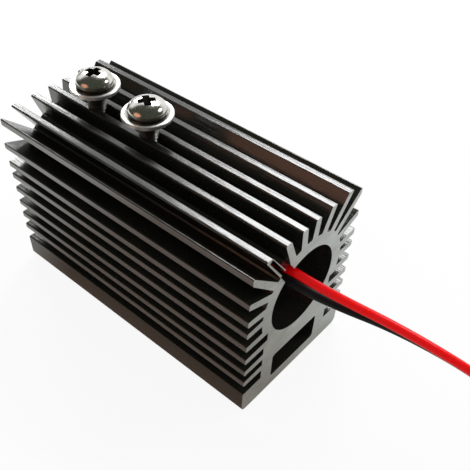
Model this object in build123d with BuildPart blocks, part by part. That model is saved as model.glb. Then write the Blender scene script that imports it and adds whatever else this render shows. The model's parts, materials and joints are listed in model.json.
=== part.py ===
from build123d import *
import math
import os

os.makedirs("parts", exist_ok=True)

# A laser diode module clamped in a finned heat sink. X is the width, Y the length with the
# beam end at +Y and the lead end at -Y, Z is up. The origin is under the middle of the foot.

# Heat sink extrusion
sink_length = 50.0
sink_width = 24.0
crown_height = 12.0
foot_height = 4.5
foot_corner = 1.0
core_half_width = 7.9
bore_diameter = 13.7
bore_height = 18.0
ring_wall = 2.0
channel_width = 10.6
channel_height = 5.1
channel_floor = 2.3
channel_corner = 0.5

# Fins, the fan counted from the vertical to the side, the level ones from the foot up to the bore's height
fan_roots = (7.6, 22.6, 37.0, 49.0, 60.0, 75.3)
fan_leans = (5.0, 21.4, 34.8, 47.0, 68.8, 84.1)
level_shares = (0.196, 0.392, 0.593, 0.804, 1.015)
fin_root = 1.25
fin_draft = 1.2
fan_insets = (0.0, 0.0, 0.0, 0.4, 0.0, 0.0)
waist_depth = 0.65
root_round = 0.2
tip_round = 0.2

# Way out for the leads at the lead end: a mouth in the bore wall, and a slot sawn up into the fin over it
mouth_angle = 34.0
mouth_width = 2.1
mouth_depth = 1.0
slotted_fin = 2
slot_width = 0.7
slot_depth = 3.0
slot_crown = 0.6

# Clamp screws and their washers
screw_diameter = 3.0
screw_length = 8.7
screw_pitch = 11.2
screw_setback = 9.5
screw_clearance = 0.05
head_diameter = 5.9
head_height = 2.0
head_side = 1.25
head_corner = 0.9
recess_span = 3.2
recess_slot = 0.75
recess_depth = 1.1
recess_turns = (7.0, 55.0)
washer_diameter = 7.7
washer_thickness = 0.6
washer_edge = 0.1
point_chamfer = 0.4

# Laser barrel, turned from brass bar, and the sleeve pressed into its web
barrel_diameter = 13.5
barrel_length = 35.0
barrel_chamfer = 0.4
barrel_recess = 1.0
paste_film = 0.05
cell_bore = 10.5
cell_bore_share = 0.4
web_thickness = 3.5
board_bore = 11.7
sleeve_diameter = 9.0
sleeve_length = 3.5

# Lens and its threaded cell
cell_length = 6.5
cell_recess = 1.2
cell_aperture = 5.5
cell_lip = 1.1
spanner_slot = 1.0
spanner_depth = 0.7
lens_diameter = 7.0
lens_rim = 1.4
lens_crown = 0.9
lens_seat = 0.25
lens_ring_diameter = 8.2
lens_ring_length = 1.2
fit_clearance = 0.05

# Laser diode in its can
header_diameter = 5.6
header_thickness = 1.2
can_diameter = 4.5
can_length = 2.4
can_wall = 0.2
window_hole = 1.6
window_diameter = 2.6
window_thickness = 0.25
post_width = 1.6
post_depth = 0.9
post_length = 1.3
chip_size = 0.3
chip_thickness = 0.12
monitor_size = 0.5
pin_diameter = 0.45
pin_spread = 1.27
seal_diameter = 0.95
pin_reach = 0.27

# Driver board and what is soldered to it: lengths along the barrel are shares of the board's
board_thickness = 0.8
board_width = 10.0
board_gap = 2.0
regulator = (3.9, 0.445, 1.5)
regulator_side = -1.6
regulator_leg = (0.6, 0.036, 0.3)
leg_pitch = 0.115
transistor = (2.5, 0.41, 1.5)
transistor_leg = (0.8, 0.041, 0.35)
transistor_pitch = 0.136
capacitor = (1.25, 0.18, 0.9)
capacitor_sides = (1.9, 3.4)
resistor = (0.8, 0.145, 0.45)
resistor_sides = (-3.3, -2.2)
end_cap = 0.027
cap_step = 0.05
trimmer = (3.0, 0.27, 1.2)
trimmer_side = 2.4
trimmer_setback = 0.155
rotor_share = 0.6
rotor_height = 0.3
rotor_slot = 0.4
solder_width = 1.1
solder_share = 0.127
solder_cover = 0.2
solder_film = 0.05
core_diameter = 0.6
core_sides = (-2.5, 2.5)
pad_setback = 0.18

# Potting that closes the barrel round the leads
potting_thickness = 2.5

# Leads, the whole length of each with its bare end, and the coil that takes what is to spare
lead_length = 150.0
lead_diameter = 1.3
lead_straight = 4.8
coil_inner_turn = 6.6
coil_turn_step = 1.3
stub_length = 5.0
stub_share = 0.96
tail_length = 4.0
tail_turn = 55.0
tip_length = 3.5
tie_thickness = 0.25
tie_width = 2.4
tie_slack = 0.3
tie_turn = -60.0

# Places that follow from the sizes
sink_height = bore_height + crown_height
level_heights = [foot_height + share * (bore_height - foot_height) for share in level_shares]
near_end = -sink_length / 2
far_end = sink_length / 2
bore_radius = bore_diameter / 2
ring_radius = bore_radius + ring_wall
barrel_radius = barrel_diameter / 2
barrel_axis = bore_height - (bore_radius - barrel_radius) + paste_film
barrel_front = far_end - barrel_recess
barrel_back = barrel_front - barrel_length
web_front = barrel_front - cell_bore_share * barrel_length
web_back = web_front - web_thickness
header_back = web_back
header_front = header_back + header_thickness
can_front = header_front + can_length
potting_front = barrel_back + potting_thickness
board_front = header_back - board_gap
board_back = potting_front + board_gap
board_length = board_front - board_back
board_top = barrel_axis - pin_diameter / 2 - solder_film
board_bottom = board_top - board_thickness
part_row = (board_front + board_back) / 2
solder_length = solder_share * board_length
screw_places = [(0, far_end - screw_setback), (0, far_end - screw_setback - screw_pitch)]
screw_tip = barrel_axis + barrel_radius
head_seat = screw_tip + screw_length
washer_seat = head_seat - washer_thickness


def bar_y(start, stop, radius, x=0.0, z=barrel_axis, mode=Mode.ADD):
    """A round bar along Y, on the barrel's axis unless x and z place it elsewhere."""
    with BuildSketch(Plane(origin=(x, start, z), x_dir=(1, 0, 0), z_dir=(0, 1, 0))) as disc:
        Circle(radius)
    extrude(disc.sketch, amount=stop - start, mode=mode)


def block(center, size, mode=Mode.ADD):
    """A square block about its centre."""
    with Locations(center):
        Box(*size, mode=mode)


def save(part, name):
    part.label = name
    export_step(part, f"parts/{name}.step")


# Heat sink: fins, ring, core and foot in one section, then the holes across it
def fin_outline(root, lean, width_limit):
    """Corners of a drafted fin from root to the width or height limit, lean measured from the vertical."""
    along = Vector(math.sin(math.radians(lean)), math.cos(math.radians(lean)))
    across = Vector(along.Y, -along.X)
    draft = math.tan(math.radians(fin_draft))
    to_side = (width_limit - root.X) / along.X
    to_top = (sink_height - root.Y) / along.Y if lean < 90 else math.inf
    feet = []
    tips = []
    for side in (-1, 1):
        edge = along - across * (side * draft)
        foot = root + across * (side * fin_root / 2) - edge * (ring_wall / 2)
        reach = (width_limit - foot.X) / edge.X if to_side < to_top else (sink_height - foot.Y) / edge.Y
        tip = foot + edge * reach
        feet.append((foot.X, foot.Y))
        tips.append((tip.X, tip.Y))
    return [feet[0], tips[0], tips[1], feet[1]]


fin_outlines = []
for angle, lean, inset in zip(fan_roots, fan_leans, fan_insets):
    turn = math.radians(angle)
    root = Vector(ring_radius * math.sin(turn), bore_height + ring_radius * math.cos(turn))
    fin_outlines.append(fin_outline(root, lean, sink_width / 2 - inset))
for height in level_heights:
    fin_outlines.append(fin_outline(Vector(core_half_width, height), 90, sink_width / 2))

with BuildPart() as heat_sink:
    with BuildSketch(Plane.XZ) as section:
        with Locations((0, foot_height / 2)):
            Rectangle(sink_width, foot_height)
        fillet(section.vertices().group_by(Axis.Y)[0], foot_corner)
        with Locations((0, bore_height / 2)):
            Rectangle(2 * core_half_width, bore_height)
        with Locations((0, bore_height)):
            Circle(ring_radius)
        waist_low = level_heights[2] + fin_root / 2
        waist_high = level_heights[3] - fin_root / 2
        for side in (1, -1):
            waist_middle = side * (core_half_width + ring_wall / 2 - waist_depth)
            with Locations((waist_middle, (waist_low + waist_high) / 2)):
                Rectangle(ring_wall, waist_high - waist_low, mode=Mode.SUBTRACT)
            for outline in fin_outlines:
                Polygon(*[(side * x, z) for x, z in outline], align=None)

        middle = Vector(0, bore_height)
        roots = section.vertices().filter_by(
            lambda v: v.Y > bore_height and abs((Vector(v.X, v.Y) - middle).length - ring_radius) < 0.01
        )
        fillet(roots, root_round)
        tip_width = sink_width / 2 - max(fan_insets)
        tips = section.vertices().filter_by(
            lambda v: v.Y > foot_height - 0.01 and (v.Y > sink_height - 0.01 or abs(v.X) > tip_width - 0.01)
        )
        fillet(tips, tip_round)

        with Locations((0, bore_height)):
            Circle(bore_radius, mode=Mode.SUBTRACT)
        with Locations((0, channel_floor + channel_height / 2)):
            RectangleRounded(channel_width, channel_height, channel_corner, mode=Mode.SUBTRACT)
    extrude(amount=sink_length / 2, both=True)

    with BuildSketch(Plane.XY.offset(bore_height)):
        with Locations(*screw_places):
            Circle(screw_diameter / 2 + screw_clearance)
    extrude(amount=sink_height, mode=Mode.SUBTRACT)

    mouth_middle = Vector(0, bore_height) + Vector(0, bore_radius).rotate(Axis.Z, mouth_angle)
    with BuildSketch(Plane.XZ.offset(-near_end)):
        with Locations(mouth_middle):
            Rectangle(mouth_width, 2 * ring_wall + root_round, rotation=mouth_angle)
    extrude(amount=-mouth_depth, mode=Mode.SUBTRACT)
    slot_lean = fan_leans[slotted_fin]
    slot_foot = Vector(0, bore_height) + Vector(0, bore_radius).rotate(Axis.Z, fan_roots[slotted_fin])
    slot_reach = (sink_height - slot_foot.Y) / math.cos(math.radians(slot_lean)) - slot_crown
    with BuildSketch(Plane.XZ.offset(-near_end)):
        with Locations(slot_foot + Vector(0, (slot_reach - ring_wall) / 2).rotate(Axis.Z, slot_lean)):
            Rectangle(slot_width, slot_reach + ring_wall, rotation=slot_lean)
    extrude(amount=-slot_depth, mode=Mode.SUBTRACT)
save(heat_sink.part, "heat_sink")

# Clamp screws: pan heads with a cross recess, flat points that press on the barrel
with BuildPart() as clamp_screws:
    crown = head_height - head_side
    crown_radius = ((head_diameter / 2) ** 2 + crown**2) / (2 * crown)
    with BuildSketch(Plane.XZ) as profile:
        with BuildLine():
            edge = Line((head_diameter / 2, head_seat), (head_diameter / 2, head_seat + head_side))
            dome = RadiusArc(edge @ 1, (0, head_seat + head_height), -crown_radius)
            Line(dome @ 1, (0, screw_tip))
            point = Line((0, screw_tip), (screw_diameter / 2 - point_chamfer, screw_tip))
            bevel = Line(point @ 1, (screw_diameter / 2, screw_tip + point_chamfer))
            shank = Line(bevel @ 1, (screw_diameter / 2, head_seat))
            Line(shank @ 1, edge @ 0)
        make_face()
        shoulder = profile.vertices().sort_by(lambda v: (Vector(v.X, v.Y) - edge @ 1).length)[0]
        fillet(shoulder, head_corner)
    revolve(axis=Axis.Z)
    with BuildSketch(Plane.XY.offset(head_seat + head_height)):
        Rectangle(recess_span, recess_slot)
        Rectangle(recess_slot, recess_span)
    extrude(amount=-recess_depth, taper=8, mode=Mode.SUBTRACT)
with BuildPart() as screw_pair:
    for place, turn in zip(screw_places, recess_turns):
        with Locations(Location((*place, 0), (0, 0, turn))):
            add(clamp_screws.part)
save(screw_pair.part, "clamp_screws")

with BuildPart() as clamp_washers:
    with BuildSketch(Plane.XY.offset(washer_seat)):
        with Locations(*screw_places):
            Circle(washer_diameter / 2)
            Circle(screw_diameter / 2 + screw_clearance, mode=Mode.SUBTRACT)
    extrude(amount=washer_thickness)
    circles = clamp_washers.edges().filter_by(GeomType.CIRCLE)
    chamfer(circles.filter_by(lambda edge: edge.radius > screw_diameter), washer_edge)
save(clamp_washers.part, "clamp_washers")

# Laser barrel: cell bore in front, web with the sleeve's seat, board bore behind
with BuildPart() as module_barrel:
    bar_y(barrel_back, barrel_front, barrel_radius)
    chamfer(module_barrel.edges().filter_by(GeomType.CIRCLE), barrel_chamfer)
    bar_y(web_front, barrel_front, cell_bore / 2, mode=Mode.SUBTRACT)
    bar_y(web_back, web_front, sleeve_diameter / 2, mode=Mode.SUBTRACT)
    bar_y(barrel_back, web_back, board_bore / 2, mode=Mode.SUBTRACT)
save(module_barrel.part, "module_barrel")

with BuildPart() as diode_sleeve:
    bar_y(web_back, web_back + sleeve_length, sleeve_diameter / 2)
    bar_y(web_back, web_back + sleeve_length, can_diameter / 2 + fit_clearance, mode=Mode.SUBTRACT)
    bar_y(header_back, header_front, header_diameter / 2, mode=Mode.SUBTRACT)
save(diode_sleeve.part, "diode_sleeve")

# Lens cell: threaded holder with a front lip and two spanner slots, the lens and the ring behind it
cell_front = barrel_front - cell_recess
cell_back = cell_front - cell_length
lens_front = cell_front - cell_lip
lens_radius = lens_diameter / 2
lens_curve = (lens_radius**2 + lens_crown**2) / (2 * lens_crown)
seat_radius = lens_radius - lens_seat
seat_sag = math.sqrt(lens_curve**2 - seat_radius**2) - (lens_curve - lens_crown)
ring_front = lens_front - lens_rim - seat_sag
with BuildPart() as lens_cell:
    bar_y(cell_back, cell_front, cell_bore / 2 - fit_clearance)
    bar_y(ring_front, lens_front, lens_radius + fit_clearance, mode=Mode.SUBTRACT)
    bar_y(cell_back, ring_front, lens_ring_diameter / 2, mode=Mode.SUBTRACT)
    bar_y(lens_front, cell_front, cell_aperture / 2, mode=Mode.SUBTRACT)
    slot_middle = (0, cell_front - spanner_depth / 2, barrel_axis)
    block(slot_middle, (cell_bore + 1, spanner_depth, spanner_slot), Mode.SUBTRACT)
save(lens_cell.part, "lens_cell")

with BuildPart() as lens_ring:
    bar_y(ring_front - lens_ring_length, ring_front, lens_ring_diameter / 2)
    bar_y(ring_front - lens_ring_length, ring_front, seat_radius, mode=Mode.SUBTRACT)
save(lens_ring.part, "lens_ring")

with BuildPart() as collimating_lens:
    with BuildSketch(Plane(origin=(0, lens_front, barrel_axis), x_dir=(1, 0, 0), z_dir=(0, 0, 1))):
        with BuildLine():
            flat = Line((0, 0), (lens_radius, 0))
            rim = Line(flat @ 1, (lens_radius, -lens_rim))
            bulge = RadiusArc(rim @ 1, (0, -lens_rim - lens_crown), lens_curve)
            Line(bulge @ 1, flat @ 0)
        make_face()
    revolve(axis=Axis((0, 0, barrel_axis), (0, 1, 0)))
save(collimating_lens.part, "collimating_lens")

# Laser diode: header with its post, glass seals, pins, can, window and the two chips
post_top = barrel_axis - chip_thickness
live_pins = ((-pin_spread, barrel_axis), (pin_spread, barrel_axis))
case_pin_level = board_bottom - solder_film - pin_diameter / 2
case_pin = (0.0, case_pin_level)
pin_end = board_front - pin_reach * board_length
with BuildPart() as diode_header:
    bar_y(header_back, header_front, header_diameter / 2)
    post_middle = (0, header_front + post_length / 2, post_top - post_depth / 2)
    block(post_middle, (post_width, post_length, post_depth))
    for x, z in live_pins:
        bar_y(header_back, header_front, seal_diameter / 2, x, z, Mode.SUBTRACT)
save(diode_header.part, "diode_header")

with BuildPart() as pin_seals:
    for x, z in live_pins:
        bar_y(header_back, header_front, seal_diameter / 2, x, z)
        bar_y(header_back, header_front, pin_diameter / 2, x, z, Mode.SUBTRACT)
save(pin_seals.part, "pin_seals")

with BuildPart() as diode_pins:
    for x, z in live_pins:
        bar_y(pin_end, header_front + post_length / 2, pin_diameter / 2, x, z)
    bar_y(pin_end, header_back, pin_diameter / 2, *case_pin)
save(diode_pins.part, "diode_pins")

with BuildPart() as diode_cap:
    bar_y(header_front, can_front, can_diameter / 2)
    bar_y(header_front, can_front - can_wall, can_diameter / 2 - can_wall, mode=Mode.SUBTRACT)
    bar_y(header_front, can_front, window_hole / 2, mode=Mode.SUBTRACT)
save(diode_cap.part, "diode_cap")

with BuildPart() as diode_window:
    bar_y(can_front - can_wall - window_thickness, can_front - can_wall, window_diameter / 2)
save(diode_window.part, "diode_window")

with BuildPart() as laser_chip:
    chip_middle = (0, header_front + post_length - chip_size / 2, post_top + chip_thickness / 2)
    block(chip_middle, (chip_size, chip_size, chip_thickness))
save(laser_chip.part, "laser_chip")

with BuildPart() as monitor_chip:
    monitor_middle = (0, header_front + chip_thickness / 2, barrel_axis + monitor_size)
    block(monitor_middle, (monitor_size, chip_thickness, monitor_size))
save(monitor_chip.part, "monitor_chip")

# Driver board between the pins, with its parts above and below
with BuildPart() as driver_board:
    board_middle = (0, part_row, (board_top + board_bottom) / 2)
    block(board_middle, (board_width, board_length, board_thickness))
save(driver_board.part, "driver_board")


def board_block(x, y, size, above=True):
    """A block on the board's upper or lower face, its length given as a share of the board's."""
    width, share, height = size
    level = board_top + height / 2 if above else board_bottom - height / 2
    block((x, y, level), (width, share * board_length, height))


def capped_parts(sides, size, above):
    """Chip parts in a row, their end caps a little prouder than their bodies."""
    for x in sides:
        board_block(x, part_row, (size[0], size[1] - 2 * end_cap, size[2] - cap_step), above)
        for end in (-1, 1):
            cap_y = part_row + end * board_length * (size[1] - end_cap) / 2
            board_block(x, cap_y, (size[0], end_cap, size[2]), above)


with BuildPart() as regulator_chip:
    board_block(regulator_side, part_row, regulator)
    for side in (-1, 1):
        leg_x = regulator_side + side * (regulator[0] + regulator_leg[0]) / 2
        for step in (-1.5, -0.5, 0.5, 1.5):
            board_block(leg_x, part_row + step * leg_pitch * board_length, regulator_leg)
save(regulator_chip.part, "regulator_chip")

with BuildPart() as driver_transistor:
    board_block(0, part_row, transistor, above=False)
    for step in (-1, 0, 1):
        leg_x = (transistor[0] + transistor_leg[0]) / 2
        board_block(leg_x, part_row + step * transistor_pitch * board_length, transistor_leg, above=False)
save(driver_transistor.part, "driver_transistor")

with BuildPart() as chip_capacitors:
    capped_parts(capacitor_sides, capacitor, above=True)
save(chip_capacitors.part, "chip_capacitors")

with BuildPart() as chip_resistors:
    capped_parts(resistor_sides, resistor, above=False)
save(chip_resistors.part, "chip_resistors")

trimmer_y = board_front - trimmer_setback * board_length
rotor_diameter = rotor_share * trimmer[1] * board_length
rotor_base = board_bottom - trimmer[2]
with BuildPart() as trim_pot:
    board_block(trimmer_side, trimmer_y, trimmer, above=False)
save(trim_pot.part, "trim_pot")

with BuildPart() as trim_rotor:
    with BuildSketch(Plane.XY.offset(rotor_base)):
        with Locations((trimmer_side, trimmer_y)):
            Circle(rotor_diameter / 2)
    extrude(amount=-rotor_height)
    slot_middle = (trimmer_side, trimmer_y, rotor_base - rotor_height * 0.75)
    block(slot_middle, (rotor_diameter, rotor_slot, rotor_height / 2), Mode.SUBTRACT)
save(trim_rotor.part, "trim_rotor")

# Potting across the barrel, and the solder on the pins and on the leads' stripped ends
pad_y = board_back + pad_setback * board_length
pin_joint_y = board_front - solder_length
core_level = board_top + solder_film + core_diameter / 2
with BuildPart() as rear_seal:
    bar_y(barrel_back, potting_front, board_bore / 2)
save(rear_seal.part, "rear_seal")


def solder_mound(x, y, wire, z, above=True):
    """A mound of solder round a wire that runs just off the board along Y."""
    board_block(x, y, (solder_width, solder_share, solder_film + wire + solder_cover), above)
    bar_y(y - solder_length, y + solder_length, wire / 2, x, z, Mode.SUBTRACT)


with BuildPart() as solder_joints:
    for x, z in live_pins:
        solder_mound(x, pin_joint_y, pin_diameter, z)
    solder_mound(case_pin[0], pin_joint_y, pin_diameter, case_pin[1], above=False)
    for x in core_sides:
        solder_mound(x, pad_y, core_diameter, core_level)
save(solder_joints.part, "solder_joints")

# Leads: round tubes from the potting, out through the bore and down to their coils
red_route = [
    (-1.5, barrel_back, bore_height + 2.9),
    (-1.6, barrel_back - lead_straight, bore_height + 3.1),
    (-2.5, near_end + 2.4, bore_height + 5.1),
    (-1.2, near_end - 4.5, bore_height + 4.0),
    (3.0, -40.2, 18.0),
    (7.2, -52.0, 12.1),
    (10.9, -62.2, 5.0),
    (12.9, -68.6, 2.2),
    (14.5, -73.6, 2.2),
]
black_route = [
    (-1.9, barrel_back, bore_height + 1.4),
    (-2.0, barrel_back - lead_straight, bore_height + 1.6),
    (-3.05, near_end + 2.3, bore_height + 3.8),
    (-1.3, near_end - 4.1, bore_height + 2.65),
    (3.5, -39.2, 16.8),
    (7.8, -51.2, 11.0),
    (11.4, -61.4, 3.7),
    (12.8, -68.2, 0.9),
    (14.5, -73.6, 0.9),
]


def corner_radii(route):
    """The largest arc that each corner's two runs leave room for."""
    radii = []
    for before, corner, after in zip(route, route[1:], route[2:]):
        first = Vector(*corner) - Vector(*before)
        second = Vector(*after) - Vector(*corner)
        half_turn = math.radians(first.get_angle(second)) / 2
        radii.append(0.45 * min(first.length, second.length) / math.tan(half_turn))
    return radii


def make_lead(name, route):
    """The tube along a route, which returns its length."""
    radii = corner_radii(route)
    with BuildPart() as lead:
        with BuildLine():
            path = FilletPolyline(*route, radius=radii)
        with BuildSketch(Plane(origin=path @ 0, z_dir=path % 0)):
            Circle(lead_diameter / 2)
        sweep(path=path)
    expected = math.pi * (lead_diameter / 2) ** 2 * path.length
    print(name, "lead length", round(path.length, 2), "radii", [round(radius, 1) for radius in radii])
    print(name, "volume over section times length", round(lead.part.volume / expected, 4))
    save(lead.part, name + "_lead")
    return path.length


def rod(start, direction, length, diameter):
    """A round rod from start along direction."""
    with BuildSketch(Plane(origin=start, z_dir=direction)) as disc:
        Circle(diameter / 2)
    extrude(disc.sketch, amount=length)


# Coils: a flat ring of turns for each lead, the black one below, the red one on it
outer_turn = coil_inner_turn + coil_turn_step
middle_turn = (coil_inner_turn + outer_turn) / 2


def coil_middle(route):
    """The centre of the coil that a route runs into, and the direction it comes in."""
    end = Vector(*route[-1])
    along = (end - Vector(*route[-2])).normalized()
    return end + along * stub_length + Vector(along.Y, -along.X) * outer_turn, along


def make_coil(name, route, tube_length):
    center, along = coil_middle(route)
    spare = lead_length - tube_length - stub_length - tail_length - tip_length
    turns = spare / (2 * math.pi * middle_turn)
    leave_turn = math.atan2(along.X, -along.Y) - 2 * math.pi * turns
    leave = center + Vector(math.cos(leave_turn), math.sin(leave_turn)) * coil_inner_turn
    heading = leave_turn - math.pi / 2 - math.radians(tail_turn)
    inward = Vector(math.cos(heading), math.sin(heading))
    with BuildPart() as coil:
        with BuildSketch(Plane(origin=center - Vector(0, 0, lead_diameter / 2))):
            Circle(outer_turn + lead_diameter / 2)
            Circle(coil_inner_turn - lead_diameter / 2, mode=Mode.SUBTRACT)
        extrude(amount=lead_diameter)
        rod(Vector(*route[-1]), along, stub_length, lead_diameter * stub_share)
        rod(leave, inward, tail_length, lead_diameter * stub_share)
    save(coil.part, name + "_coil")
    with BuildPart() as tip:
        rod(leave + inward * tail_length, inward, tip_length, core_diameter)
    save(tip.part, name + "_tip")
    print(name, "coil centre", [round(v, 2) for v in center], "turns", round(turns, 2))


def make_core(name, route, pad_x):
    """Stripped end of a lead, from the potting to its pad on the board."""
    x, _, z = route[0]
    places = [
        (x, potting_front, z),
        (x, potting_front + core_diameter, z),
        (pad_x, pad_y - solder_length, core_level),
        (pad_x, pad_y + solder_length / 2, core_level),
    ]
    with BuildPart() as core:
        with BuildLine():
            path = Polyline(*places)
        with BuildSketch(Plane(origin=path @ 0, z_dir=path % 0)):
            Circle(core_diameter / 2)
        sweep(path=path, transition=Transition.RIGHT)
    save(core.part, name + "_core")


for name, route, pad_x in (("red", red_route, core_sides[0]), ("black", black_route, core_sides[1])):
    tube_length = make_lead(name, route)
    make_coil(name, route, tube_length)
    make_core(name, route, pad_x)

# Tie: a band round both coils at one side
upper_middle, _ = coil_middle(red_route)
lower_middle, _ = coil_middle(black_route)
stack_height = upper_middle.Z - lower_middle.Z + lead_diameter
band_width = coil_turn_step + lead_diameter + tie_slack
tie_place = math.radians(tie_turn)
tie_reach = Vector(math.cos(tie_place), math.sin(tie_place)) * middle_turn
tie_middle = Vector(lower_middle.X, lower_middle.Y, (upper_middle.Z + lower_middle.Z) / 2) + tie_reach
tie_plane = Plane(origin=tie_middle, x_dir=tie_reach, z_dir=Vector(0, 0, 1).cross(tie_reach))
with BuildPart() as coil_tie:
    with BuildSketch(tie_plane):
        Rectangle(band_width + 2 * tie_thickness, stack_height + 2 * tie_thickness)
        fillet(vertices(), tie_thickness)
        Rectangle(band_width, stack_height, mode=Mode.SUBTRACT)
    extrude(amount=tie_width / 2, both=True)
save(coil_tie.part, "coil_tie")
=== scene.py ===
import json
import math

import bmesh
import bpy
from mathutils import Matrix, Vector


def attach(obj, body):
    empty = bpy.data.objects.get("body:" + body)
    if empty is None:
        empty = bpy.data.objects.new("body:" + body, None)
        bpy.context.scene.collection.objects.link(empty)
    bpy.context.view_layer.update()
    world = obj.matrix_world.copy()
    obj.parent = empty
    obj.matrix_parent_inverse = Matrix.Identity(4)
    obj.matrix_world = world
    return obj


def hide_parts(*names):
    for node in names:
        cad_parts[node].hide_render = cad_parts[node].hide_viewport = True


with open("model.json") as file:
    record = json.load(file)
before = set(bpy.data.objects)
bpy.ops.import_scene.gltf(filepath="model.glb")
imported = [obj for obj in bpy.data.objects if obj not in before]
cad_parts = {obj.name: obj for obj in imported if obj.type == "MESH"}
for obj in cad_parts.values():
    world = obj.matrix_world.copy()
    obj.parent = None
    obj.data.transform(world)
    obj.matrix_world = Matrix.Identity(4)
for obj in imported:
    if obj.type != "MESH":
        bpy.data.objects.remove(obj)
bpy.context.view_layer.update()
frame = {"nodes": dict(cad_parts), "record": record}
scene = bpy.context.scene
mm = 0.001


def inMetres(*values):
    return Vector(values) * mm


# Camera, placed in millimetres from the photograph's perspective of the fins
cameraSpec = {
    "place": (-55.164, -56.457, 87.146),
    "right": (0.68012, -0.73299, -0.01285),
    "up": (0.55833, 0.50655, 0.65702),
    "focalPixels": 665.73,
    "axisPixel": (192.13, 297.51),
    "frameSide": 470,
    "sensorWidth": 36,
    "clipStart": 5 * mm,
}


def makeCamera(spec):
    right = Vector(spec["right"]).normalized()
    up = Vector(spec["up"]).normalized()
    turn = Matrix((right, up, right.cross(up))).transposed().to_4x4()
    data = bpy.data.cameras.new("photoCamera")
    data.sensor_fit = "HORIZONTAL"
    data.sensor_width = spec["sensorWidth"]
    data.lens = spec["sensorWidth"] * spec["focalPixels"] / spec["frameSide"]
    data.shift_x = 0.5 - spec["axisPixel"][0] / spec["frameSide"]
    data.shift_y = spec["axisPixel"][1] / spec["frameSide"] - 0.5
    data.clip_start = spec["clipStart"]
    camera = bpy.data.objects.new("photoCamera", data)
    camera.matrix_world = Matrix.Translation(inMetres(*spec["place"])) @ turn
    scene.collection.objects.link(camera)
    scene.camera = camera


makeCamera(cameraSpec)
print("camera placed")


# Node graphs: a Term wraps a socket so that numbers over a surface are written as sums
class Term:
    def __init__(self, graph, socket):
        self.graph = graph
        self.socket = socket

    def __add__(self, other):
        return self.graph.maths("ADD", self, other)

    def __sub__(self, other):
        return self.graph.maths("SUBTRACT", self, other)

    def __rsub__(self, other):
        return self.graph.maths("SUBTRACT", other, self)

    def __mul__(self, other):
        return self.graph.maths("MULTIPLY", self, other)

    __radd__ = __add__
    __rmul__ = __mul__


class Graph:
    def __init__(self, name, owner=None):
        self.owner = owner or bpy.data.materials.new(name)
        self.owner.use_nodes = True
        self.tree = self.owner.node_tree
        self.tree.nodes.clear()

    def feed(self, socket, value):
        if isinstance(value, Term):
            value = value.socket
        if isinstance(value, bpy.types.NodeSocket):
            self.tree.links.new(value, socket)
        else:
            socket.default_value = value

    # Sockets go by name, with _ for a space, or by number as in0, in1
    def add(self, kind, settings=None, output=0, **inputs):
        node = self.tree.nodes.new(kind)
        for key, value in (settings or {}).items():
            setattr(node, key, value)
        for key, value in inputs.items():
            numbered = key.startswith("in") and key[2:].isdigit()
            self.feed(node.inputs[int(key[2:]) if numbered else key.replace("_", " ")], value)
        return Term(self, node.outputs[output]) if len(node.outputs) else None

    def maths(self, operation, *values):
        named = {f"in{step}": value for step, value in enumerate(values)}
        return self.add("ShaderNodeMath", {"operation": operation}, **named)

    def clamp(self, value):
        return self.add("ShaderNodeClamp", None, Value=value)

    def spread(self, value, low, high, newLow=0.0, newHigh=1.0):
        return self.add("ShaderNodeMapRange", {"interpolation_type": "SMOOTHSTEP"},
                        in0=value, in1=low, in2=high, in3=newLow, in4=newHigh)

    def position(self):
        return self.add("ShaderNodeTexCoord", None, output="Object")

    def axes(self, vector):
        return [self.add("ShaderNodeSeparateXYZ", None, output=step, Vector=vector) for step in range(3)]

    def facing(self, vector, side):
        return self.add("ShaderNodeVectorMath", {"operation": "DOT_PRODUCT"}, output="Value",
                        in0=vector, in1=Vector(side).normalized())

    def stretched(self, vector, scale, turn=(0, 0, 0)):
        return self.add("ShaderNodeMapping", None, Vector=vector, Rotation=turn, Scale=scale)

    def noise(self, vector, scale=1.0, detail=3.0, roughness=0.5):
        return self.add("ShaderNodeTexNoise", None, Vector=vector, Scale=scale, Detail=detail,
                        Roughness=roughness)

    def blend(self, amount, first, second):
        return self.add("ShaderNodeMix", {"data_type": "RGBA"}, output=2, in0=amount, in6=first, in7=second)

    def bump(self, height, strength, distance, normal=None):
        more = {"Normal": normal} if normal else {}
        return self.add("ShaderNodeBump", None, Height=height, Strength=strength, Distance=distance, **more)

    def surface(self, **inputs):
        shader = self.add("ShaderNodeBsdfPrincipled", None, **inputs)
        self.finish(shader)
        return self.owner

    def finish(self, shader):
        self.add("ShaderNodeOutputMaterial", None, Surface=shader)


def rgb(red, green, blue):
    return (red, green, blue, 1.0)


# Finishes: noise scales count waves in a metre, so 1000 is about one in a millimetre
def blackAnodised(name, deep, worn, roughness):
    g = Graph(name)
    place = g.position()
    dieLines = g.noise(g.stretched(place, (7000, 60, 7000)), detail=4)      # drawn along the extrusion
    streaks = g.noise(g.stretched(place, (2600, 90, 2600)), detail=3, roughness=0.6)    # broader and deeper
    cloud = g.noise(place, scale=160, detail=2)
    dust = g.noise(place, scale=4200, detail=2)
    specks = g.spread(dust, 0.68, 0.8)
    tone = g.blend(g.clamp(dieLines * 0.7 + cloud * 0.6 - 0.2), rgb(*deep), rgb(*worn))
    colour = g.blend(specks * 0.15, tone, rgb(0.1, 0.09, 0.08))
    rough = roughness + (dieLines - 0.5) * 0.16 + (cloud - 0.5) * 0.12 + specks * 0.2
    relief = g.bump(dieLines, 0.35, 0.00001, g.bump(dust, 0.15, 0.000008))
    relief = g.bump(streaks, 0.8, 0.00006, relief)
    return g.surface(Base_Color=colour, Roughness=rough, IOR=1.75, Normal=relief)


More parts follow.
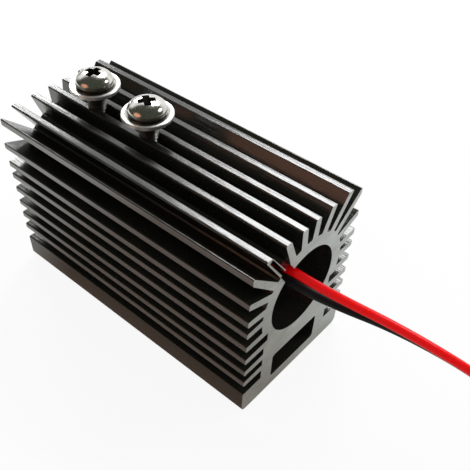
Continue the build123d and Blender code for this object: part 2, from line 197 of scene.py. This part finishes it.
def sawnAluminium():
    spec = {"bright": rgb(0.57, 0.605, 0.57), "dull": rgb(0.3, 0.325, 0.3), "rough": 0.46}
    g = Graph("sawnAluminium")
    place = g.position()
    across = g.stretched(place, (240, 240, 5200), (0, math.radians(28), 0))
    strokes = g.noise(across, detail=5, roughness=0.6)      # the saw's strokes, on a slant
    grain = g.noise(place, scale=5200, detail=3, roughness=0.65)
    pits = g.spread(g.noise(place, scale=2600, detail=2), 0.62, 0.7)
    cloud = g.noise(place, scale=300, detail=2)
    mottle = (strokes - 0.5) * 1.2 + (grain - 0.5) * 2.0 + (cloud - 0.5) * 0.8
    tone = g.blend(g.clamp(mottle + 0.5), spec["dull"], spec["bright"])
    colour = g.blend(pits * 0.4, tone, rgb(0.16, 0.16, 0.15))
    rough = spec["rough"] + (grain - 0.5) * 0.3 + pits * 0.15
    relief = g.bump(strokes, 0.5, 0.00002, g.bump(grain, 0.4, 0.000012))
    return g.surface(Base_Color=colour, Metallic=0.5, Roughness=rough, Normal=relief)


def zincPlated(name, bright, stain, roughness, headShadeAndPolish=None):
    g = Graph(name)
    place = g.position()
    cloud = g.noise(place, scale=900, detail=3)
    grain = g.noise(place, scale=9000, detail=2)
    colour = g.blend(g.spread(cloud, 0.45, 0.75) * 0.6, rgb(*bright), rgb(*stain))
    rough = roughness + (cloud - 0.5) * 0.12 + g.spread(grain, 0.55, 0.7) * 0.14
    if headShadeAndPolish:        # painted shade and reflection of the head, and polish, next to the heads; unshaded and matt at the rim
        x, y = g.axes(place)[:2]
        away = [g.maths("SQRT", x * x + (y - middle) * (y - middle)) for middle in headShadeAndPolish["middles"]]
        shadeAndPolishNearHead = g.spread(g.maths("MINIMUM", *away), *headShadeAndPolish["span"], 1.0, 0.0)
        colour = g.blend(shadeAndPolishNearHead * headShadeAndPolish["cover"], colour, rgb(*headShadeAndPolish["shadeColour"]))
        rough = rough - shadeAndPolishNearHead * headShadeAndPolish["polish"]
    relief = g.bump(grain, 0.2, 0.000004, g.bump(cloud, 0.2, 0.00001))
    return g.surface(Base_Color=colour, Metallic=1.0, Roughness=rough, Normal=relief)


def turnedMetal(name, bright, dull, roughness):
    g = Graph(name)
    place = g.position()
    toolMarks = g.noise(g.stretched(place, (300, 9000, 300)), detail=3)     # rings round the Y axis
    cloud = g.noise(place, scale=420, detail=3)
    colour = g.blend(g.clamp(toolMarks * 0.5 + cloud * 0.5), rgb(*dull), rgb(*bright))
    rough = roughness + (toolMarks - 0.5) * 0.18 + (cloud - 0.5) * 0.1
    relief = g.bump(toolMarks, 0.3, 0.000008)
    return g.surface(Base_Color=colour, Metallic=1.0, Roughness=rough, Normal=relief)


def leadJacket(name, colour, shade, roughness):
    g = Graph(name)
    place = g.position()
    skin = g.noise(place, scale=2600, detail=3)
    dirt = g.noise(place, scale=520, detail=3)
    tone = g.blend(g.spread(dirt, 0.45, 0.8) * 0.5, rgb(*colour), rgb(*shade))
    rough = roughness + (skin - 0.5) * 0.16 + (dirt - 0.5) * 0.12
    return g.surface(Base_Color=tone, Roughness=rough, IOR=1.38, Normal=g.bump(skin, 0.25, 0.00002))


def mouldedPlastic(name, colour, other, roughness, grainScale):
    g = Graph(name)
    place = g.position()
    grain = g.noise(place, scale=grainScale, detail=3)
    tone = g.blend(g.clamp(grain), rgb(*colour), rgb(*other))
    rough = roughness + (grain - 0.5) * 0.2
    return g.surface(Base_Color=tone, Roughness=rough, Normal=g.bump(grain, 0.3, 0.00002))


def coatedGlass():
    g = Graph("coatedGlass")
    film = g.noise(g.position(), scale=700, detail=2)
    tint = g.blend(g.clamp(film), rgb(0.8, 0.92, 0.9), rgb(0.9, 0.86, 0.95))
    return g.surface(Base_Color=tint, Roughness=0.03 + film * 0.03, IOR=1.52, Transmission_Weight=1.0)


finishes = {
    "black_anodised": blackAnodised("blackAnodised", (0.0045, 0.0065, 0.005), (0.024, 0.021, 0.016), 0.2),
    "zinc_plated": zincPlated("zincPlated", (0.74, 0.73, 0.69), (0.46, 0.42, 0.36), 0.16),
    "turned_brass": turnedMetal("turnedBrass", (0.83, 0.64, 0.3), (0.6, 0.42, 0.16), 0.24),
    "blackened_brass": turnedMetal("blackenedBrass", (0.06, 0.055, 0.05), (0.03, 0.028, 0.026), 0.4),
    "gold_plated": turnedMetal("goldPlated", (0.95, 0.75, 0.36), (0.8, 0.58, 0.24), 0.2),
    "can_metal": turnedMetal("canMetal", (0.8, 0.78, 0.72), (0.6, 0.58, 0.52), 0.22),
    "lens_glass": coatedGlass(),
    "chip": mouldedPlastic("bareDie", (0.1, 0.09, 0.14), (0.2, 0.2, 0.24), 0.15, 6000),
    "board": mouldedPlastic("solderResist", (0.01, 0.13, 0.04), (0.02, 0.2, 0.07), 0.3, 2200),
    "black_epoxy": mouldedPlastic("blackEpoxy", (0.012, 0.012, 0.012), (0.035, 0.033, 0.032), 0.5, 1800),
    "chip_parts": mouldedPlastic("firedCeramic", (0.42, 0.3, 0.18), (0.52, 0.4, 0.27), 0.45, 3200),
    "trimmer_blue": mouldedPlastic("trimmerBlue", (0.02, 0.09, 0.36), (0.03, 0.13, 0.46), 0.35, 2500),
    "solder": turnedMetal("tinnedSolder", (0.78, 0.78, 0.76), (0.56, 0.56, 0.55), 0.28),
    "red_jacket": leadJacket("redJacket", (0.96, 0.0, 0.002), (0.84, 0.0, 0.004), 0.24),
    "black_jacket": leadJacket("blackJacket", (0.008, 0.01, 0.011), (0.018, 0.022, 0.024), 0.36),
    "tie_plastic": mouldedPlastic("tiePlastic", (0.02, 0.02, 0.02), (0.045, 0.045, 0.045), 0.42, 2600),
}
bareMetal = sawnAluminium()
paleTips = blackAnodised("paleTips", (0.06, 0.055, 0.05), (0.14, 0.122, 0.108), 0.32)
# painted shade: a dark zinc for the thread and the head's rim
threadZinc = zincPlated("threadZinc", (0.16, 0.155, 0.14), (0.08, 0.075, 0.065), 0.3)
# painted shade: a darker zinc in the cross recess
recessGrime = zincPlated("recessGrime", (0.1, 0.095, 0.085), (0.04, 0.036, 0.03), 0.4)

clampPlaces = (15.5, 4.3)       # the two screws along the sink, in millimetres
# painted shade and reflection of the heads on the washers, next to the heads
washerShadeAndPolish = {
    "middles": [y * mm for y in clampPlaces],
    "span": (3.2 * mm, 3.45 * mm),
    "shadeColour": (0.3, 0.3, 0.26),
    "cover": 0.85,
    "polish": 0.16,
}
washerZinc = zincPlated("washerZinc", (0.86, 0.86, 0.84), (0.66, 0.65, 0.61), 0.36, headShadeAndPolish=washerShadeAndPolish)
print("finishes made")


slotOf = {entry["node"]: entry["material_slot"] for entry in frame["record"]["subparts"]}
roundedBelow = 32       # degrees between two faces, past which their edge stays sharp


# Faces shaded smooth, with their sharp edges kept
def soften(mesh, sharpAngle=roundedBelow):
    bm = bmesh.new()
    bm.from_mesh(mesh)
    bmesh.ops.remove_doubles(bm, verts=bm.verts, dist=1e-7)
    for face in bm.faces:
        face.smooth = True
        face.material_index = 0
    for edge in bm.edges:
        edge.smooth = len(edge.link_faces) == 2 and edge.calc_face_angle(0) < math.radians(sharpAngle)
    bm.to_mesh(mesh)
    bm.free()


def standFor(piece, node, *materials):
    piece.data.materials.clear()
    for material in materials:
        piece.data.materials.append(material)
    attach(piece, "root")
    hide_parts(node)


# Smooth copies of the model's own pieces
def smoothCopy(node, sharpAngle=roundedBelow, finish=None):
    mesh = frame["nodes"][node].data.copy()
    mesh.name = node + "_skin"
    soften(mesh, sharpAngle)
    for extra in [a.name for a in mesh.attributes if a.name.startswith("custom_normal")]:
        mesh.attributes.remove(mesh.attributes[extra])      # the copied normals would hide the smoothing
    piece = bpy.data.objects.new(mesh.name, mesh)
    scene.collection.objects.link(piece)
    standFor(piece, node, finish or finishes[slotOf[node]])
    return piece


# Leads: the routes of the model's tubes, then the turns of the coil that takes what is to spare
leadSpec = {
    "diameter": 1.3 * mm,
    "length": 150 * mm,
    "innerTurn": 6.6 * mm,
    "turnStep": 1.3 * mm,
    "stub": 5.0 * mm,
    "turns": 1.48,
    "pointsEachTurn": 16,
    "inwardFrom": 0.45,     # turns before the coil steps inwards, and turns that the step takes
    "inwardOver": 0.5,
    "outset": 1.01,         # the smooth line runs inside its points
    "tail": 4.0 * mm,
    "tailTurn": 55,
    "lineSteps": 10,
    "roundSteps": 6,
}
redRoute = [
    (-1.5, -11.0, 20.9), (-1.6, -15.8, 21.1), (-2.5, -22.6, 23.1), (-1.15, -29.5, 21.45),
    (3.0, -40.2, 18.0), (7.2, -52.0, 12.8), (10.9, -62.2, 5.0), (12.9, -68.6, 2.2), (14.5, -73.6, 2.2),
]
blackRoute = [
    (-1.9, -11.0, 19.4), (-2.0, -15.8, 19.6), (-2.95, -22.7, 21.3), (-1.1, -29.1, 19.5),
    (3.9, -39.2, 16.55), (8.1, -51.6, 11.85), (11.4, -61.4, 3.7), (12.8, -68.2, 0.9), (14.5, -73.6, 0.9),
]


def coilPoints(route, spec):
    end = route[-1]
    along = (end - route[-2]).normalized()
    right = Vector((along.y, -along.x, 0))
    outer = spec["innerTurn"] + spec["turnStep"]
    center = end + along * spec["stub"] + right * outer
    first = math.atan2(-right.y, -right.x)
    count = round(spec["turns"] * spec["pointsEachTurn"])
    points = []
    for step in range(1, count + 1):
        turned = spec["turns"] * step / count
        share = min(max((turned - spec["inwardFrom"]) / spec["inwardOver"], 0), 1)
        radius = outer - spec["turnStep"] * share * share * (3 - 2 * share)
        angle = first - 2 * math.pi * turned
        points.append(center + Vector((math.cos(angle), math.sin(angle), 0)) * radius * spec["outset"])
    last = first - 2 * math.pi * spec["turns"]
    leave = center + Vector((math.cos(last), math.sin(last), 0)) * spec["innerTurn"]
    heading = last - math.pi / 2 - math.radians(spec["tailTurn"])
    inward = Vector((math.cos(heading), math.sin(heading), 0))
    points += [leave + inward * spec["tail"] * 0.5, leave + inward * spec["tail"]]
    return points


def makeLead(name, route, spec, *heldPieces):
    route = [inMetres(*point) for point in route]
    points = route + coilPoints(route, spec)
    curve = bpy.data.curves.new(name, "CURVE")
    curve.dimensions = "3D"
    spline = curve.splines.new("NURBS")
    spline.points.add(len(points) - 1)
    for point, place in zip(spline.points, points):
        point.co = (*place, 1)
    spline.order_u = 3
    spline.use_endpoint_u = True
    spline.resolution_u = spec["lineSteps"]
    curve.bevel_depth = spec["diameter"] / 2
    curve.bevel_resolution = spec["roundSteps"]
    curve.use_fill_caps = True
    lead = bpy.data.objects.new(name, curve)
    scene.collection.objects.link(lead)
    curve.materials.append(finishes[name + "_jacket"])
    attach(lead, "root")
    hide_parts(name + "_lead", name + "_coil")
    smoothCopy(name + "_tip")


makeLead("red", redRoute, leadSpec, frame["nodes"]["coil_tie"])
makeLead("black", blackRoute, leadSpec)
print("leads laid")


def makeObject(name, bm):
    mesh = bpy.data.meshes.new(name)
    bm.to_mesh(mesh)
    bm.free()
    piece = bpy.data.objects.new(name, mesh)
    scene.collection.objects.link(piece)
    return piece


# Clamp screws in millimetres: a profile of radius and height is spun, with the thread's turns as
# level grooves, and a cross recess is cut into the round crown
screwSpec = {
    "places": [(0, y) for y in clampPlaces],
    "recessTurns": (7, 55),
    "point": ((0, 24.7), (1.1, 24.7), (1.5, 25.1)),
    "thread": {"bottom": 27.6, "turns": 11, "pitch": 0.5},
    "groove": ((1.5, 0), (1.22, 0.44), (1.22, 0.56)),       # radius, and height as a share of the pitch
    "head": ((1.5, 33.1), (1.5, 33.4), (2.72, 33.4), (2.88, 33.6), (2.93, 33.88), (2.87, 34.2),
             (2.68, 34.54), (2.34, 34.86), (1.86, 35.12), (1.3, 35.29), (0.65, 35.38), (0, 35.4)),
    "steps": 72,
    "shadedRimTop": 34.1,         # painted shade on the thread and the head's rim, up to here
    "crown": 35.4,
    "recessSpan": 3.7,
    "recessSlot": 1.3,
    "recessDepth": 1.25,
    "recessTaper": (0.45, 0.6, 1),
    "shadeReach": 1.8,      # painted shade on the recess's walls and floor
    "shadeTop": 34.7,
    "shadeSlope": 0.6,
}


def recessCutter(spec, wing):
    bm = bmesh.new()
    for place, turn in zip(spec["places"], spec["recessTurns"]):
        made = bmesh.ops.create_cube(bm, size=1)["verts"]
        size = (spec["recessSpan"], spec["recessSlot"], spec["recessDepth"] * 2)
        turned = Matrix.Rotation(math.radians(turn + wing), 3, "Z")
        bmesh.ops.scale(bm, verts=[vert for vert in made if vert.co.z < 0], vec=spec["recessTaper"])
        bmesh.ops.scale(bm, verts=made, vec=size)
        bmesh.ops.rotate(bm, verts=made, cent=(0, 0, 0), matrix=turned)
        bmesh.ops.translate(bm, verts=made, vec=(*place, spec["crown"]))
    bmesh.ops.scale(bm, verts=bm.verts, vec=(mm, mm, mm))
    return makeObject("recessCutter", bm)


def screwProfile(spec):
    thread = spec["thread"]
    profile = list(spec["point"])
    for turn in range(thread["turns"]):
        for radius, share in spec["groove"]:
            profile.append((radius, thread["bottom"] + (turn + share) * thread["pitch"]))
    return profile + list(spec["head"])


def makeScrews(spec):
    bm = bmesh.new()
    for x, y in spec["places"]:
        line = [bm.verts.new((x + radius, y, height)) for radius, height in screwProfile(spec)]
        edges = [bm.edges.new(pair) for pair in zip(line, line[1:])]
        bmesh.ops.spin(bm, geom=line + edges, cent=(x, y, 0), axis=(0, 0, 1), dvec=(0, 0, 0),
                       angle=2 * math.pi, steps=spec["steps"], use_merge=True)
    bmesh.ops.remove_doubles(bm, verts=bm.verts, dist=1e-4)
    bmesh.ops.scale(bm, verts=bm.verts, vec=(mm, mm, mm))
    bmesh.ops.recalc_face_normals(bm, faces=bm.faces)
    screws = makeObject("domedScrews", bm)
    cutters = [recessCutter(spec, wing) for wing in (0, 90)]
    for cutter in cutters:
        cut = screws.modifiers.new("recess", "BOOLEAN")
        cut.operation = "DIFFERENCE"
        cut.solver = "EXACT"
        cut.object = cutter
    shaped = screws.evaluated_get(bpy.context.evaluated_depsgraph_get())
    mesh = bpy.data.meshes.new_from_object(shaped)
    screws.modifiers.clear()
    screws.data = mesh
    for cutter in cutters:
        bpy.data.objects.remove(cutter)
    soften(mesh)
    standFor(screws, "clamp_screws", finishes["zinc_plated"], threadZinc, recessGrime)
    for face in mesh.polygons:
        middle = face.center / mm
        away = min(math.hypot(middle.x - x, middle.y - y) for x, y in spec["places"])
        inRecess = abs(face.normal.z) < spec["shadeSlope"] or middle.z < spec["shadeTop"]
        # painted shade on the thread and the head's rim
        if middle.z < spec["shadedRimTop"]:
            face.material_index = 1
        # painted shade on the walls and floor of the cross recess
        elif away < spec["shadeReach"] and inRecess:
            face.material_index = 2


makeScrews(screwSpec)
smoothCopy("clamp_washers", finish=washerZinc)
print("screws made")


# Heat sink: sawn ends and tapped holes are bare metal, the side fins' tips are a paler, rougher black
heatSinkSpec = {
    "sharpAngle": 25,
    "endPlace": 24.99 * mm,
    "holeRadius": 1.6 * mm,
    "holePlaces": [y * mm for y in clampPlaces],
    "holeBottom": 24 * mm,
    "wallSlope": 0.5,
    "tipPlace": 11.5 * mm,
    "footTop": 4.6 * mm,
    "squareOn": 0.9,        # the part of a face's normal that has to lie along Y or X
}


def dressHeatSink(spec):
    sink = smoothCopy("heat_sink", spec["sharpAngle"])
    sink.data.materials.append(bareMetal)
    sink.data.materials.append(paleTips)
    for face in sink.data.polygons:
        x, y, z = face.center
        atEnd = abs(y) > spec["endPlace"] and abs(face.normal.y) > spec["squareOn"]
        inHole = any(math.hypot(x, y - hole) < spec["holeRadius"] for hole in spec["holePlaces"])
        inHole = inHole and z > spec["holeBottom"] and abs(face.normal.z) < spec["wallSlope"]
        atTip = abs(x) > spec["tipPlace"] and abs(face.normal.x) > spec["squareOn"] and z > spec["footTop"]
        if atEnd or inHole:
            face.material_index = 1
        elif atTip:
            face.material_index = 2


dressHeatSink(heatSinkSpec)
smoothed = (
    "module_barrel", "lens_cell", "lens_ring", "collimating_lens", "diode_sleeve", "diode_header",
    "diode_cap", "diode_window", "diode_pins", "pin_seals", "rear_seal", "red_core", "black_core",
    "trim_rotor",
)
for node in smoothed:
    smoothCopy(node)
for node, piece in frame["nodes"].items():
    piece.data.materials.clear()
    piece.data.materials.append(finishes[slotOf[node]])
print("pieces dressed")


# Pale floor, three soft panels and a pale room all round. Metal and gloss mirror the room's darker and
# warmer sides, and the floor's painted brown shade next to the sink, which only reflections show
roomSpec = {
    "fill": 0.62,
    "unlitSide": (-0.55, -0.55, 0.63),
    "unlitSpread": (-0.12, 0.1),
    "unlitColour": rgb(0.05, 0.055, 0.04),
    "dimSide": (-0.85, 0.5, -0.1),
    "dimSpread": (0.35, 0.7),
    "warmSide": (-0.85, 0.27, 0.45),
    "warmSpread": (0.92, 0.97),
    "warmColour": rgb(0.88, 0.43, 0.28),
    "backSide": (0.35, 0.93, -0.1),
    "backSpread": (0.86, 0.98),
    "backColour": rgb(0.3, 0.31, 0.28),
    "floorColour": rgb(0.86, 0.86, 0.86),
    "floorShown": 0.9,
    "floorDrop": 0.02 * mm,
    "floorLeft": (-0.012, 0.03),
    "floorNear": (0.015, 0.042),
    "floorNearShade": rgb(0.23, 0.15, 0.11),
    "floorFarColour": rgb(1.22, 1.24, 1.19),
    "panels": (
        {"place": (0.208, 0.109, 0.269), "turn": -55, "size": (0.112, 0.125), "power": 0.52},
        {"place": (0.15, 0.285, 0.168), "turn": 0, "size": (0.08, 0.07), "power": 0.3},
        {"place": (0.225, -0.145, 0.24), "turn": 0, "size": (0.09, 0.07), "power": 0.16},
    ),
    "floorSide": 3.0,
}


def makeRoom(spec):
    world = bpy.data.worlds.new("paleRoom")
    scene.world = world
    g = Graph("paleRoom", world)
    camera = g.add("ShaderNodeLightPath", None, output="Is Camera Ray")
    glossy = g.add("ShaderNodeLightPath", None, output="Is Glossy Ray")
    through = g.add("ShaderNodeLightPath", None, output="Is Transmission Ray")
    seen = g.clamp(camera + glossy + through)
    toward = g.add("ShaderNodeTexCoord", None, output="Generated")
    mirrored = rgb(1, 1, 1)
    for part, colour in (("back", "back"), ("unlit", "unlit"), ("dim", "unlit"), ("warm", "warm")):
        amount = g.spread(g.facing(toward, spec[part + "Side"]), *spec[part + "Spread"])
        mirrored = g.blend(amount, mirrored, spec[colour + "Colour"])
    colour = g.blend(glossy, rgb(1, 1, 1), mirrored)
    strength = spec["fill"] + seen * (1 - spec["fill"])
    shader = g.add("ShaderNodeBackground", None, Color=colour, Strength=strength)
    g.add("ShaderNodeOutputWorld", None, Surface=shader)

    for panelSpec in spec["panels"]:
        lamp = bpy.data.lights.new("softPanel", "AREA")
        lamp.shape = "RECTANGLE"
        lamp.size, lamp.size_y = panelSpec["size"]
        lamp.energy = panelSpec["power"]
        panel = bpy.data.objects.new("softPanel", lamp)
        place = Vector(panelSpec["place"])
        aimed = place.to_track_quat("Z", "Y").to_matrix().to_4x4()
        rolled = Matrix.Rotation(math.radians(panelSpec["turn"]), 4, "Z")
        panel.matrix_world = Matrix.Translation(place) @ aimed @ rolled
        scene.collection.objects.link(panel)

    bm = bmesh.new()
    bmesh.ops.create_grid(bm, x_segments=1, y_segments=1, size=spec["floorSide"] / 2)
    mesh = bpy.data.meshes.new("paleFloor")
    bm.to_mesh(mesh)
    bm.free()
    floor = bpy.data.objects.new("paleFloor", mesh)
    floor.location.z = -spec["floorDrop"]
    scene.collection.objects.link(floor)
    g = Graph("paleFloor")
    camera = g.add("ShaderNodeLightPath", None, output="Is Camera Ray")
    glossy = g.add("ShaderNodeLightPath", None, output="Is Glossy Ray")
    matt = g.add("ShaderNodeBsdfDiffuse", None, Color=spec["floorColour"])
    across, along = g.axes(g.position())[:2]
    # painted shade and light seen only in reflections: brown near the sink, brighter than white further off
    left = g.blend(g.spread(along, *spec["floorNear"]), spec["floorNearShade"], spec["floorFarColour"])
    colour = g.blend(glossy * (1 - g.spread(across, *spec["floorLeft"])), rgb(1, 1, 1), left)
    plain = g.add("ShaderNodeEmission", None, Color=colour, Strength=1.0)
    shown = g.clamp(camera * spec["floorShown"] + glossy * spec["floorShown"])
    g.finish(g.add("ShaderNodeMixShader", None, in0=shown, in1=matt, in2=plain))
    mesh.materials.append(g.owner)


makeRoom(roomSpec)
scene.view_settings.view_transform = "Standard"
print("room lit")
